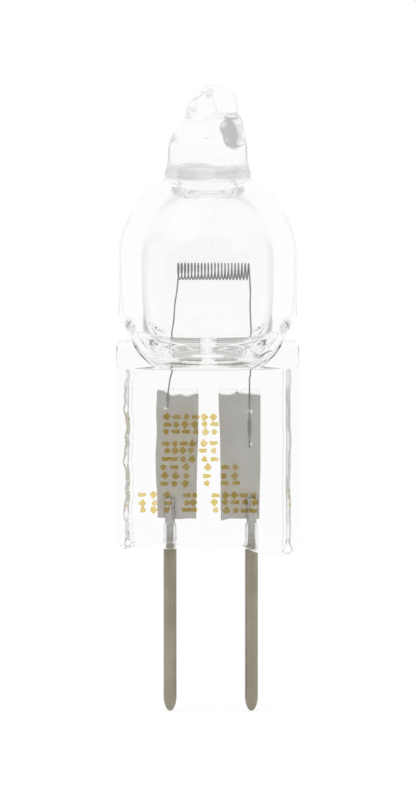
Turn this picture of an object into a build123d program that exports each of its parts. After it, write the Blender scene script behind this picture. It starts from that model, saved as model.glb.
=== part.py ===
from build123d import *
import math
import os

os.makedirs("parts", exist_ok=True)

# A clear quartz halogen capsule bulb with two contact pins. Sizes are in millimetres.
# The origin lies midway between the pins, where they leave the glass. +Z runs up the bulb,
# and the flat faces of the pinch look along -Y and +Y. Heights are measured from the origin.

# Contact pins
pin_spacing = 4.0
pin_diameter = 0.65
pin_length = 7.95  # from the glass to the tip
pin_nose = 0.75  # length of the blunt point
nose_diameter = 0.3  # its flat end
root_diameter = 0.5  # slimmer inner end, welded to the foil
root_taper = 0.6  # length over which the pin slims down inside the glass
root_length = 2.6  # depth of the pin in the glass
capillary_gap = 0.03  # thin gap left round the pin by the cooling glass

# Pressed pinch
glass_shift = -0.15  # the glass stands a little to the left of the pins' middle
pinch_width = 8.95
pinch_thickness = 3.0  # across the side beads
pinch_height = 10.3  # to the top of the shoulders
bead_round = 0.6
shoulder_bevel = 0.4
foot_bevel = 0.2
panel_width = 7.65  # flat faces between the beads
panel_depth = 0.28  # how far they lie below the beads
panel_height = 8.98

# Round bulb
bulb_diameter = 8.75
bulb_wall = 1.15
dome_height = 14.38  # centre of the dome
draw_in_height = 10.4  # where the front and back of the round wall start to turn in
flank_height = 11.12  # where its sides start to slant in
flank_width = 5.2  # width left between the slanted sides at the flat faces
floor_height = 9.85  # bottom of the hollow
floor_diameter = 4.8
floor_slope = 3.35  # height over which the hollow narrows to its floor

# Exhaust stub and its melted-off tip
neck_diameter = 4.2
neck_top_diameter = 3.98
neck_height = 19.8
channel_diameter = 2.7
channel_height = 18.7
channel_point = 0.3  # length of the channel's conical end
channel_end_diameter = 1.9
waist_diameter = 2.85
waist_height = 21.2
waist_lean = 0.28
crown_diameter = 2.48
crown_height = 22.05
crown_lean = 0.32
tip_diameter = 1.2
tip_height = 22.8
tip_lean = 0.7
tip_bevel = 0.2

# Molybdenum foils
foil_width = 2.1
foil_length = 6.4
foil_thickness = 0.03
foil_feather = 0.3  # width of the thinned border along each long edge
foil_edge_thickness = 0.01
foil_height = 1.5  # lower end
foil_inset = 0.95  # how much closer the foils stand than the pins
seal_gap = 0.01

# Filament
wire_diameter = 0.085
coil_diameter = 0.88  # outside
coil_pitch = 0.165
coil_turns = 21.5
coil_runs = 12  # straight runs that make up each turn
coil_height = 13.67
coil_shift = 0.126
coil_yaw = -6.0  # degrees that the coil is turned from the foils' plane
leg_run = 1.0  # straight run below the coil
leg_spread = 3.98  # between the legs at the floor of the hollow
leg_bend = 0.8
leg_shift = -0.1  # from the pins' middle, on the foils
leg_lead = 0.3  # how far above the foil the leg reaches the foil's plane
left_weld = 0.85  # how far each leg lies on its foil
right_weld = 2.85

# Places worked out from the sizes
pin_radius = pin_diameter / 2
root_radius = root_diameter / 2
bulb_radius = bulb_diameter / 2
hollow_radius = bulb_radius - bulb_wall
neck_radius = neck_diameter / 2
channel_radius = channel_diameter / 2
wire_radius = wire_diameter / 2
coil_radius = coil_diameter / 2 - wire_radius
wire_side = wire_diameter * math.sqrt(math.pi) / 2
wire_reach = wire_side / math.sqrt(2)
coil_run_count = round(coil_turns * coil_runs)
coil_length = coil_run_count / coil_runs * coil_pitch
foil_top = foil_height + foil_length
foil_front = root_radius + seal_gap
wire_on_foil = foil_front - seal_gap - wire_reach
panel_face = pinch_thickness / 2 - panel_depth
glass_plane = Plane(origin=(glass_shift, 0, 0))
section_plane = Plane(origin=(glass_shift, 0, 0), x_dir=(1, 0, 0), z_dir=(0, -1, 0))
glass_axis = Axis((glass_shift, 0, 0), (0, 0, 1))
sides = {"left": -1, "right": 1}
weld_length = {"left": left_weld, "right": right_weld}


def pin_plane(side):
    """Upright plane through one pin's axis, for its half section."""
    return Plane(origin=(side * pin_spacing / 2, 0, 0), x_dir=(1, 0, 0), z_dir=(0, -1, 0))


def pin_axis(side):
    """Axis of one pin."""
    return Axis((side * pin_spacing / 2, 0, 0), (0, 0, 1))


def foil_plane(side):
    """Level plane at a foil's lower end, centred on its thickness."""
    middle = side * (pin_spacing - foil_inset) / 2 + glass_shift
    return Plane(origin=(middle, foil_front + foil_thickness / 2, foil_height))


def foil_outline(gap):
    """Points round a foil's section: flat in the middle, thinned along both long edges.

    gap is the clearance all round, zero for the foil itself.
    """
    reach = foil_width / 2 + gap
    flat = foil_width / 2 - foil_feather
    thick = foil_thickness / 2 + gap
    thin = foil_edge_thickness / 2 + gap
    return [
        (-reach, -thin),
        (-flat, -thick),
        (flat, -thick),
        (reach, -thin),
        (reach, thin),
        (flat, thick),
        (-flat, thick),
        (-reach, thin),
    ]


# The coil runs along its own axis from left to right, starting at the back of its first turn
coil_direction = Vector(1, 0, 0).rotate(Axis.Z, coil_yaw)
coil_back = Vector(0, 1, 0).rotate(Axis.Z, coil_yaw)
coil_start = Vector(coil_shift, 0, coil_height) - coil_direction * (coil_length / 2)


def coil_point(run):
    """Corner of the coil's route after a number of straight runs, of which the first stands upright.

    The middles of the runs lie on the coil's radius.
    """
    turn = (run - 1 / 2) / coil_runs
    angle = 2 * math.pi * turn
    reach = coil_radius / math.cos(math.pi / coil_runs)
    across = coil_back * (reach * math.cos(angle)) + Vector(0, 0, reach * math.sin(angle))
    return coil_start + coil_direction * (turn * coil_pitch) + across


coil_route = [coil_point(run) for run in range(coil_run_count + 2)]


def leg_points(side):
    """Corners of one leg's route, from the end of the coil down to its foot on the foil."""
    start = coil_route[0] if side < 0 else coil_route[-1]
    before = coil_route[1] if side < 0 else coil_route[-2]
    foot_x = side * pin_spacing / 2 + leg_shift
    reached = foil_top + leg_lead
    end = foil_top - weld_length["left" if side < 0 else "right"]
    return [
        start,
        start + (start - before).normalized() * leg_run,
        Vector(side * leg_spread / 2, wire_on_foil, floor_height),
        Vector(foot_x, wire_on_foil, reached),
        Vector(foot_x, wire_on_foil, end),
    ]


# Contact pins: round wire with a blunt point, slimmed where it is sealed and welded
pins = {}
for name, side in sides.items():
    with BuildPart() as pin:
        with BuildSketch(pin_plane(side)):
            Polygon(
                (0, -pin_length),
                (nose_diameter / 2, -pin_length),
                (pin_radius, pin_nose - pin_length),
                (pin_radius, 0),
                (root_radius, root_taper),
                (root_radius, root_length),
                (0, root_length),
                align=None,
            )
        revolve(axis=pin_axis(side))
    pin.part.label = f"pin_{name}"
    pins[name] = pin

# Foils: thin flat ribbons with feathered long edges, standing behind the pins' inner ends
foils = {}
for name, side in sides.items():
    with BuildPart() as foil:
        with BuildSketch(foil_plane(side)):
            Polygon(*foil_outline(0), align=None)
        extrude(amount=foil_length)
    foil.part.label = f"foil_{name}"
    foils[name] = foil

# Filament: one fine wire, coiled in the middle. Its section is a square of the round wire's area.
with BuildPart() as filament:
    with BuildLine() as coil_line:
        Polyline(*coil_route)
    coil_path = coil_line.wire()
    with BuildSketch(Plane(origin=coil_path @ 0, z_dir=coil_path % 0)):
        Rectangle(wire_side, wire_side)
    sweep(path=coil_path, transition=Transition.RIGHT)

    for side in sides.values():
        with BuildLine() as leg_line:
            FilletPolyline(*leg_points(side), radius=leg_bend)
        leg_path = leg_line.wire()
        with BuildSketch(Plane(origin=leg_path @ 0, z_dir=leg_path % 0)):
            Rectangle(wire_side, wire_side)
        sweep(path=leg_path)
filament.part.label = "filament"

# Pinch: pressed block with rounded side beads and shoulders
with BuildPart() as pinch:
    with BuildSketch(glass_plane):
        RectangleRounded(pinch_width, pinch_thickness, bead_round)
    extrude(amount=pinch_height)
    chamfer(pinch.edges().group_by(Axis.Z)[-1], shoulder_bevel)
    chamfer(pinch.edges().group_by(Axis.Z)[0], foot_bevel)

    # Flat faces pressed in between the beads, front and back
    for facing in (-1, 1):
        with BuildSketch(section_plane.offset(facing * panel_face)):
            Rectangle(panel_width, 2 * panel_height)
        extrude(amount=facing * 2 * panel_depth, mode=Mode.SUBTRACT)

# Quartz envelope
with BuildPart() as quartz_envelope:
    # Round wall, dome and neck
    neck_foot = dome_height + math.sqrt(bulb_radius**2 - neck_radius**2)
    dome_sweep = math.degrees(math.acos(neck_radius / bulb_radius))
    with BuildSketch(section_plane):
        with BuildLine():
            Polyline(
                (neck_radius, neck_foot),
                (neck_top_diameter / 2, neck_height),
                (0, neck_height),
                (0, draw_in_height),
                (bulb_radius, draw_in_height),
                (bulb_radius, dome_height),
            )
            CenterArc((0, dome_height), bulb_radius, 0, dome_sweep)
        make_face()
    revolve(axis=glass_axis)

    # Front and back turned in to the pinch, circle to flat ellipse
    for degrees in (0, 30, 60, 90):
        turn = math.radians(degrees)
        level = draw_in_height - (draw_in_height - panel_height) * math.sin(turn)
        deep = pinch_thickness / 2 + (bulb_radius - pinch_thickness / 2) * math.cos(turn)
        with BuildSketch(glass_plane.offset(level)):
            Ellipse(bulb_radius, deep)
    loft()

    # Sides slanted in to the flat faces
    slope = (flank_height - panel_height) / (bulb_radius - flank_width / 2)
    flank_top = panel_height + slope * (bulb_diameter - flank_width / 2)
    for side in sides.values():
        with BuildSketch(section_plane):
            Polygon(
                (side * flank_width / 2, panel_height),
                (side * bulb_diameter, flank_top),
                (side * bulb_diameter, panel_height),
                align=None,
            )
        extrude(amount=bulb_diameter, both=True, mode=Mode.SUBTRACT)
    add(pinch.part)

    # Melted-off tip, leaning to one side
    tip_rings = (
        (neck_height, 0, neck_top_diameter),
        (waist_height, waist_lean, waist_diameter),
        (crown_height, crown_lean, crown_diameter),
        (tip_height, tip_lean, tip_diameter),
    )
    for level, lean, across in tip_rings:
        with BuildSketch(glass_plane.offset(level)):
            with Locations((lean, 0)):
                Circle(across / 2)
    loft(ruled=True)
    chamfer(quartz_envelope.edges().group_by(Axis.Z)[-1], tip_bevel)

    # Sealed hollow, narrowing to its floor, with the closed end of the exhaust channel
    ceiling = dome_height + math.sqrt(hollow_radius**2 - channel_radius**2)
    hollow_sweep = math.degrees(math.acos(channel_radius / hollow_radius))
    with BuildSketch(section_plane):
        with BuildLine():
            CenterArc((0, dome_height), hollow_radius, 0, hollow_sweep)
            Polyline(
                (channel_radius, ceiling),
                (channel_radius, channel_height - channel_point),
                (channel_end_diameter / 2, channel_height),
                (0, channel_height),
                (0, floor_height),
                (floor_diameter / 2, floor_height),
                (hollow_radius, floor_height + floor_slope),
                (hollow_radius, dome_height),
            )
        make_face()
    revolve(axis=glass_axis, mode=Mode.SUBTRACT)

    for side in sides.values():
        # Capillary round the pin's inner end
        with BuildSketch(Plane(origin=pin_plane(side).origin)):
            Circle(pin_radius + capillary_gap)
        extrude(amount=root_length + capillary_gap, mode=Mode.SUBTRACT)

        # Slot that the foil is sealed in
        with BuildSketch(foil_plane(side).offset(-seal_gap)):
            Polygon(*foil_outline(seal_gap), align=None)
        extrude(amount=foil_length + 2 * seal_gap, mode=Mode.SUBTRACT)

        # Hole that the filament's leg is sealed in
        with BuildLine() as leg_line:
            FilletPolyline(*leg_points(side), radius=leg_bend)
        leg_path = leg_line.wire()
        with BuildSketch(Plane(origin=leg_path @ 0, z_dir=leg_path % 0)):
            Rectangle(2 * (wire_reach + seal_gap), 2 * (wire_reach + seal_gap))
        sweep(path=leg_path, mode=Mode.SUBTRACT)
quartz_envelope.part.label = "quartz_envelope"

export_step(quartz_envelope.part, "parts/quartz_envelope.step")
export_step(filament.part, "parts/filament.step")
for name in sides:
    export_step(foils[name].part, f"parts/foil_{name}.step")
    export_step(pins[name].part, f"parts/pin_{name}.step")
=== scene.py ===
"""Dresses a clear two-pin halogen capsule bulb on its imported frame.

The quartz envelope, the filament, the sealing foils and the contact pins are made as fine meshes
where the frame says, finished with procedural materials, and shown on a white floor in soft light.
Sizes are in millimetres, in the frame's own axes: +Z runs up the bulb and -Y looks at the camera.
"""

import logging
import math
from dataclasses import dataclass
from enum import Enum
from itertools import cycle
from typing import Any, Sequence

import bmesh
import bpy
import numpy as np
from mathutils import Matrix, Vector

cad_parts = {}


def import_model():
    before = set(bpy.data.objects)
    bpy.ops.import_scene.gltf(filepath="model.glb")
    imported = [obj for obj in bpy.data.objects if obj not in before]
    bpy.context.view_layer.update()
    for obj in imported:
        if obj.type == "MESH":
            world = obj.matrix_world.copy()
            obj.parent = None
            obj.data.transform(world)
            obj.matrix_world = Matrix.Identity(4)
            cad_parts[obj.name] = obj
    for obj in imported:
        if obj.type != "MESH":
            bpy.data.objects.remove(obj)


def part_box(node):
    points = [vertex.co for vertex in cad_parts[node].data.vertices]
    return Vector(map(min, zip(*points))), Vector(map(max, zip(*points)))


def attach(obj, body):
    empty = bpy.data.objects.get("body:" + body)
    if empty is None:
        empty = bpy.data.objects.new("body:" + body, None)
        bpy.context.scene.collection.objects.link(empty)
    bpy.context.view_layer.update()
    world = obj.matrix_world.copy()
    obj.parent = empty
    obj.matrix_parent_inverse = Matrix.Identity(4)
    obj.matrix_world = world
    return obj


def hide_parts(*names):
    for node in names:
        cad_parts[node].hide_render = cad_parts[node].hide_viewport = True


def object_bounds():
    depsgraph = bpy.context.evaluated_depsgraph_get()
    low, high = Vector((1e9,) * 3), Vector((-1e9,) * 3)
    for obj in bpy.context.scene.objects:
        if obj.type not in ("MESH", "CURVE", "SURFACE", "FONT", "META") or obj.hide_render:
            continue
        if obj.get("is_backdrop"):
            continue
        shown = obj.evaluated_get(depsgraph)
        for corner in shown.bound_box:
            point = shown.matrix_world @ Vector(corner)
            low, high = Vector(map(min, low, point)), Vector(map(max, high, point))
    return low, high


MM = 0.001
BODY = "root"
WELD_DISTANCE = 1e-5 * MM
# Keeps a square root real above the top of the dome.
LEAST_SQUARE = 1e-6

Grid = np.ndarray
Outline = Sequence[tuple[float, float]]
# A wave by its height, its rate in radians and its phase.
Wave = tuple[float, float, float | Grid]

log = logging.getLogger("bulb")


class Side(Enum):
    """The two halves of the bulb, by the sign of X."""

    LEFT = -1
    RIGHT = 1


class Mark(Enum):
    """Plain printed shapes, by half width, half height and how far their sides bend in."""

    DASH = (0.2, 0.1, 0.5)
    DOT = (0.14, 0.14, 1.0)
    DIAMOND = (0.19, 0.2, 1.7)


def linear(colour: str) -> tuple[float, float, float, float]:
    """Turns an sRGB hex colour into linear light.

    Args:
        colour: The colour as #RRGGBB.

    Returns:
        Linear red, green and blue, with an alpha of one.
    """
    # The numbers are those of the sRGB standard.
    parts = [int(colour[place : place + 2], 16) / 255 for place in (1, 3, 5)]
    red, green, blue = (p / 12.92 if p <= 0.04045 else ((p + 0.055) / 1.055) ** 2.4 for p in parts)
    return red, green, blue, 1.0


def add_node(
    tree: bpy.types.NodeTree, kind: str, inputs: dict[Any, Any] | None = None, **settings: Any
) -> bpy.types.Node:
    """Adds one node with its settings and links.

    Args:
        tree: The tree that the node joins.
        kind: The node's type name.
        inputs: Sockets by name or number, each with a plain value or the socket to link from.
        **settings: The node's own properties.

    Returns:
        The new node.
    """
    node = tree.nodes.new(kind)
    for name, value in settings.items():
        setattr(node, name, value)
    for key, value in (inputs or {}).items():
        if isinstance(value, bpy.types.NodeSocket):
            tree.links.new(value, node.inputs[key])
        else:
            node.inputs[key].default_value = value
    return node


def new_material(name: str) -> bpy.types.Material:
    """Makes an empty node material.

    Args:
        name: The material's name.

    Returns:
        The material, with no nodes in it.
    """
    material = bpy.data.materials.new(name)
    material.use_nodes = True
    material.node_tree.nodes.clear()
    return material


def curve_through(points: Outline, at: Grid) -> Grid:
    """Reads a smooth curve through points that doesn't overshoot between them.

    Args:
        points: Pairs of place and value, with rising places.
        at: Places to read, held to the first and last point.

    Returns:
        The curve's values.
    """
    places, values = np.array(points, float).T
    steps = np.diff(places)
    slopes = np.diff(values) / steps
    before, after = slopes[:-1], slopes[1:]
    same_way = before * after > 0
    total = np.where(same_way, before + after, 1.0)
    inner = np.where(same_way, 2 * before * after / total, 0.0)
    tangents = np.concatenate([slopes[:1], inner, slopes[-1:]])
    i = np.clip(np.searchsorted(places, at) - 1, 0, len(places) - 2)
    t = np.clip((at - places[i]) / steps[i], 0, 1)
    start = (1 + 2 * t) * (1 - t) ** 2 * values[i] + t * (1 - t) ** 2 * steps[i] * tangents[i]
    end = t**2 * (3 - 2 * t) * values[i + 1] + t**2 * (t - 1) * steps[i] * tangents[i + 1]
    return start + end


def line_through(points: Sequence[Sequence[float]], count: int) -> Grid:
    """Reads a smooth line through points in the plane or in space.

    Args:
        points: The points, in order.
        count: How many points to read along the line.

    Returns:
        The line's points, evenly spread along the chords.
    """
    corners = np.array(points, float)
    runs = np.linalg.norm(np.diff(corners, axis=0), axis=1)
    places = np.concatenate([[0.0], np.cumsum(runs)])
    at = np.linspace(0, places[-1], count)
    columns = [curve_through(list(zip(places, column)), at) for column in corners.T]
    return np.stack(columns, axis=1)


def smooth_step(low: float, high: float, value: Grid) -> Grid:
    """Rises smoothly from 0 at low to 1 at high."""
    t = np.clip((value - low) / (high - low), 0, 1)
    return t * t * (3 - 2 * t)


def between(reach: tuple[float, float], unit: float = 1.0) -> dict[str, float]:
    """Gives the two ends of a reach as values for the sockets that take them."""
    return {"From Min": reach[0] * unit, "From Max": reach[1] * unit}


def pattern(place: bpy.types.NodeSocket, size: float, detail: float) -> dict[str, Any]:
    """Gives a noise pattern's sockets their values, with its scale from a real size in millimetres."""
    return {"Vector": place, "Scale": 1 / (size * MM), "Detail": detail}


def set_stops(ramp: bpy.types.ColorRamp, places: Sequence[float], shades: Sequence[str]) -> None:
    """Sets the places of a ramp's stops and their hex colours."""
    for stop, place, shade in zip(ramp.elements, places, shades):
        stop.position, stop.color = place, linear(shade)


def round_angles(count: int, shift: float = 0.0) -> Grid:
    """Angles spread evenly round a circle, moved on by a share of a step."""
    return (np.arange(count) + shift) * 2 * math.pi / count


def bent_round(angle: Grid, bend: float) -> tuple[Grid, Grid]:
    """Across and up round a circle, squared by a bend below one and drawn in by one above it."""
    across, up = np.sin(angle), np.cos(angle)
    return np.sign(across) * np.abs(across) ** bend, np.sign(up) * np.abs(up) ** bend


def waves(parts: Sequence[Wave], at: Grid, start: float = 0.0) -> Grid:
    """Adds sine waves to a starting value."""
    return sum((height * np.sin(rate * at + phase) for height, rate, phase in parts), start)


def smooth_union(first: Grid, second: Grid, blend: float) -> Grid:
    """Joins two depth fields, with a fillet of about the blend's size between them."""
    share = np.clip(0.5 + 0.5 * (second - first) / blend, 0, 1)
    return second * (1 - share) + first * share - blend * share * (1 - share)


def rounded_cut(first: Grid, second: Grid, radius: float) -> Grid:
    """Keeps what two depth fields share, with their edge rounded."""
    a, b = first + radius, second + radius
    return np.minimum(np.maximum(a, b), 0) + np.hypot(np.maximum(a, 0), np.maximum(b, 0)) - radius


class MeshDraft:
    """Collects rings of points, in millimetres, and the faces between them."""

    def __init__(self) -> None:
        """Starts with no points and no faces."""
        self.points: list[Grid] = []
        self.faces: list[Grid] = []
        self.count = 0

    def add_rings(self, rings: Grid, inward: bool = False) -> None:
        """Adds a closed skin of rings, from the lowest to the highest.

        Args:
            rings: Points as rows, columns and X, Y, Z. Each row runs anticlockwise seen from above.
            inward: Turns the skin inside out, as the wall of a hollow.
        """
        rows, columns = rings.shape[:2]
        index = self.count + np.arange(rows * columns).reshape(rows, columns)
        low, high = index[:-1], index[1:]
        quads = np.stack([low, np.roll(low, -1, 1), np.roll(high, -1, 1), high], axis=-1).reshape(-1, 4)
        self.points.append(rings.reshape(-1, 3))
        self.faces.append(quads[:, ::-1] if inward else quads)
        self.count += rows * columns

    def add_lathe(
        self, centre: Sequence[float], outline: Grid, columns: int, inward: bool = False
    ) -> None:
        """Adds an upright turned skin.

        Args:
            centre: X and Y of the axis.
            outline: Rows of radius and height, from the lowest to the highest.
            columns: Points round each ring.
            inward: Turns the skin inside out, as the wall of a hollow.
        """
        angle = round_angles(columns)
        radius, height = outline[:, :1], outline[:, 1:]
        x = centre[0] + radius * np.cos(angle)
        y = centre[1] + radius * np.sin(angle)
        self.add_rings(np.stack([x, y, height + 0 * angle], axis=-1), inward)

    def add_button(self, centre: Sequence[float], outline: Grid, profile: Outline) -> None:
        """Adds a flat skin of shrunken outlines that faces the front.

        Args:
            centre: X and Z that the outlines shrink towards.
            outline: X and Z of points round the full outline, from the top round by the right.
            profile: Pairs of share and Y, from the front to the back.
        """
        middle = np.array(centre)
        rings = []
        for share, y in profile:
            spots = middle + share * (outline - middle)
            rings.append(np.stack([spots[:, 0], np.full(len(spots), y), spots[:, 1]], axis=1))
        self.add_rings(np.stack(rings))

    def piece(self, name: str, material: bpy.types.Material) -> bpy.types.Object:
        """Makes the object, welded where rings close, and lets it ride on the part.

        Args:
            name: The piece's name.
            material: Its finish.

        Returns:
            The new object.
        """
        mesh = bpy.data.meshes.new(name)
        points = (np.concatenate(self.points) * MM).tolist()
        mesh.from_pydata(points, [], [face.tolist() for block in self.faces for face in block])
        work = bmesh.new()
        work.from_mesh(mesh)
        bmesh.ops.remove_doubles(work, verts=work.verts, dist=WELD_DISTANCE)
        bmesh.ops.dissolve_degenerate(work, edges=work.edges, dist=WELD_DISTANCE)
        work.to_mesh(mesh)
        work.free()
        mesh.shade_smooth()
        mesh.materials.append(material)
        item = bpy.data.objects.new(name, mesh)
        bpy.context.scene.collection.objects.link(item)
        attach(item, BODY)
        log.info("%s: %d faces", name, len(mesh.polygons))
        return item


# Fused quartz passes nearly all light, so the eye gets white, with dark lines where the glass turns
# away. The grey band in the neck is painted shade, blurred by the haze the closing flame left there.
# The ripples have their real size.
@dataclass(frozen=True)
class FusedQuartz:
    """Clear fused quartz, drawn as tube and pressed hot: smooth and colourless, with faint ripples."""

    tint: str = "#FEFEFE"
    ior: float = 1.458
    ripple_size: float = 1.4
    ripple_depth: float = 0.0012
    ripple_detail: float = 1.0
    # Height, share of light passed, which paints shade in the band, and roughness, up through the neck's
    # band.
    shade_and_haze_levels: Sequence[tuple[float, float, float]] = (
        (18.0, 1.0, 0.0), (18.1, 1.0, 0.34), (18.37, 1.0, 0.34), (18.42, 0.955, 0.4),
        (18.55, 0.975, 0.34), (18.75, 0.99, 0.22), (18.95, 1.0, 0.1), (19.2, 1.0, 0.0),
    )
    # How far the band of painted shade and haze hangs at the middle, for each square millimetre to the side.
    shade_and_haze_sag: float = 0.05

    def neck_shade_and_haze(
        self, tree: bpy.types.NodeTree, place: bpy.types.NodeSocket
    ) -> tuple[bpy.types.NodeSocket, bpy.types.NodeSocket]:
        """Colour and roughness of the glass: a grey band of painted shade in the neck, blurred by the haze
        that the closing flame left there.

        Args:
            tree: The glass's tree.
            place: The object's own coordinates.

        Returns:
            The colour and the roughness.
        """
        split = add_node(tree, "ShaderNodeSeparateXYZ", {"Vector": place})
        square = add_node(
            tree, "ShaderNodeMath", {0: split.outputs["X"], 1: split.outputs["X"]}, operation="MULTIPLY"
        )
        level = add_node(
            tree,
            "ShaderNodeMath",
            {0: square.outputs[0], 1: -self.shade_and_haze_sag / MM, 2: split.outputs["Z"]},
            operation="MULTIPLY_ADD",
        )
        low, high = self.shade_and_haze_levels[0][0], self.shade_and_haze_levels[-1][0]
        ends = between((low, high), MM)
        share = add_node(tree, "ShaderNodeMapRange", {"Value": level.outputs[0], **ends})
        # Painted shade: this ramp dims the glass's colour in a band round the neck, so the band shows grey.
        tone = add_node(tree, "ShaderNodeValToRGB", {"Fac": share.outputs["Result"]})
        haze = add_node(tree, "ShaderNodeValToRGB", {"Fac": share.outputs["Result"]})
        clear = linear(self.tint)
        for ramp in (tone.color_ramp, haze.color_ramp):
            for height, _, _ in self.shade_and_haze_levels[1:-1]:
                ramp.elements.new((height - low) / (high - low))
        stops = zip(tone.color_ramp.elements, haze.color_ramp.elements, self.shade_and_haze_levels)
        for shaded_stop, scatter, (_, shaded_share, rough) in stops:
            shaded_stop.color = (*(channel * shaded_share for channel in clear[:3]), 1.0)
            scatter.color = (rough, rough, rough, 1.0)
        return tone.outputs["Color"], haze.outputs["Color"]

    def material(self) -> bpy.types.Material:
        """Builds the glass: clear, with a slow ripple left by drawing and pressing.

        Returns:
            The material.
        """
        made = new_material("fused_quartz")
        tree = made.node_tree
        place = add_node(tree, "ShaderNodeTexCoord").outputs["Object"]
        noise = pattern(place, self.ripple_size, self.ripple_detail)
        ripple = add_node(tree, "ShaderNodeTexNoise", noise)
        bump = add_node(
            tree,
            "ShaderNodeBump",
            {"Height": ripple.outputs["Fac"], "Distance": self.ripple_depth * MM, "Strength": 1.0},
        )
        colour, rough = self.neck_shade_and_haze(tree, place)
        glass = add_node(
            tree,
            "ShaderNodeBsdfPrincipled",
            {
                "Base Color": colour,
                "Roughness": rough,
                "IOR": self.ior,
                "Transmission Weight": 1.0,
                "Normal": bump.outputs["Normal"],
            },
        )
        add_node(tree, "ShaderNodeOutputMaterial", {"Surface": glass.outputs["BSDF"]})
        return made


# Working leaves lines that draw each highlight out along the metal. The cloudy patches of tone, where
# heat tinted it unevenly, have their real size.
@dataclass(frozen=True)
class WorkedMetal:
    """A bare metal, drawn or rolled along Z, with fine lines that way and soft cloudy patches."""

    name: str
    light: str
    dark: str
    roughness: float
    line_width: float
    line_length: float
    line_depth: float
    cloud_size: float
    sealed: str | None = None
    sealed_from: tuple[float, float] = (0.0, 1.2)
    roughness_swing: float = 0.08
    line_detail: float = 3.0
    cloud_detail: float = 2.0
    tone_ends: tuple[float, float] = (0.3, 0.7)

    def sealed_tone(
        self, tree: bpy.types.NodeTree, place: bpy.types.NodeSocket, dulled: bpy.types.NodeSocket
    ) -> bpy.types.NodeSocket:
        """Colour that is dulled by the air outside the glass and clean inside it.

        Args:
            tree: The metal's tree.
            place: The object's own coordinates.
            dulled: The colour in open air.

        Returns:
            The colour.
        """
        split = add_node(tree, "ShaderNodeSeparateXYZ", {"Vector": place})
        ends = between(self.sealed_from, MM)
        share = add_node(tree, "ShaderNodeMapRange", {"Value": split.outputs["Z"], **ends})
        # Sockets 6 and 7 hold the two colours of a mix, and output 2 gives the result.
        tone = add_node(
            tree,
            "ShaderNodeMix",
            {0: share.outputs["Result"], 6: dulled, 7: linear(self.sealed)},
            data_type="RGBA",
        )
        return tone.outputs[2]

    def material(self) -> bpy.types.Material:
        """Builds the metal: lines along the working direction catch the light, patches shift its tone.

        Returns:
            The material.
        """
        made = new_material(self.name)
        tree = made.node_tree
        place = add_node(tree, "ShaderNodeTexCoord").outputs["Object"]
        along = self.line_width / self.line_length
        stretch = add_node(tree, "ShaderNodeMapping", {"Vector": place, "Scale": (1.0, 1.0, along)})
        noise = pattern(stretch.outputs["Vector"], self.line_width, self.line_detail)
        lines = add_node(tree, "ShaderNodeTexNoise", noise)
        noise = pattern(place, self.cloud_size, self.cloud_detail)
        clouds = add_node(tree, "ShaderNodeTexNoise", noise)
        tone = add_node(tree, "ShaderNodeValToRGB", {"Fac": clouds.outputs["Fac"]})
        set_stops(tone.color_ramp, self.tone_ends, (self.dark, self.light))
        colour = tone.outputs["Color"]
        if self.sealed:
            colour = self.sealed_tone(tree, place, colour)
        rough = add_node(
            tree,
            "ShaderNodeMapRange",
            {
                "Value": lines.outputs["Fac"],
                "To Min": self.roughness - self.roughness_swing,
                "To Max": self.roughness + self.roughness_swing,
            },
        )
        bump = add_node(
            tree,
            "ShaderNodeBump",
            {"Height": lines.outputs["Fac"], "Distance": self.line_depth * MM, "Strength": 1.0},
        )
        metal = add_node(
            tree,
            "ShaderNodeBsdfPrincipled",
            {
                "Base Color": colour,
                "Metallic": 1.0,
                "Roughness": rough.outputs["Result"],
                "Normal": bump.outputs["Normal"],
            },
        )
        add_node(tree, "ShaderNodeOutputMaterial", {"Surface": metal.outputs["BSDF"]})
        return made


# Fired amber ink stains the light that comes through, so the eye gets a clear yellow, paler in patches.
# Real patches are about a tenth of a millimetre wide, and are drawn 0.5 mm wide so that they show.
@dataclass(frozen=True)
class StampedInk:
    """Thin amber ink, stamped on the glass and fired: a clear stain, uneven where the stamp lifted."""

    full: str = "#E2CB7E"
    thin: str = "#F0E2B4"
    patch_size: float = 0.5
    patch_detail: float = 4.0
    tone_ends: tuple[float, float] = (0.45, 0.75)

    def material(self) -> bpy.types.Material:
        """Builds the stain, which lets the light behind it through and bends none of it.

        Returns:
            The material.
        """
        made = new_material("amber_stamped_ink")
        tree = made.node_tree
        place = add_node(tree, "ShaderNodeTexCoord").outputs["Object"]
        noise = pattern(place, self.patch_size, self.patch_detail)
        patches = add_node(tree, "ShaderNodeTexNoise", noise)
        tone = add_node(tree, "ShaderNodeValToRGB", {"Fac": patches.outputs["Fac"]})
        set_stops(tone.color_ramp, self.tone_ends, (self.full, self.thin))
        stain = add_node(
            tree,
            "ShaderNodeBsdfPrincipled",
            {
                "Base Color": tone.outputs["Color"],
                "Roughness": 0.0,
                "IOR": 1.0,
                "Transmission Weight": 1.0,
            },
        )
        add_node(tree, "ShaderNodeOutputMaterial", {"Surface": stain.outputs["BSDF"]})
        return made


# Tungsten drawn through dies is a neutral mid grey, and gives the eye soft glints along each turn.
# Real die lines are a few thousandths of a millimetre wide, and are drawn 0.02 mm wide to show.
DRAWN_TUNGSTEN = WorkedMetal(
    name="drawn_tungsten_wire",
    light="#A8A8AA",
    dark="#8E8E90",
    roughness=0.4,
    line_width=0.02,
    line_length=0.3,
    line_depth=0.001,
    cloud_size=0.8,
)
# Molybdenum rolled to a ribbon and etched gives the eye an even, satin grey with faint upright lines.
# Real rolling lines are about 0.01 mm wide, and are drawn 0.06 mm wide to show.
ROLLED_FOIL = WorkedMetal(
    name="rolled_molybdenum_foil",
    light="#CFCDC9",
    dark="#C6C4BF",
    roughness=0.42,
    line_width=0.06,
    line_length=2.0,
    line_depth=0.002,
    cloud_size=1.2,
)
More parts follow.
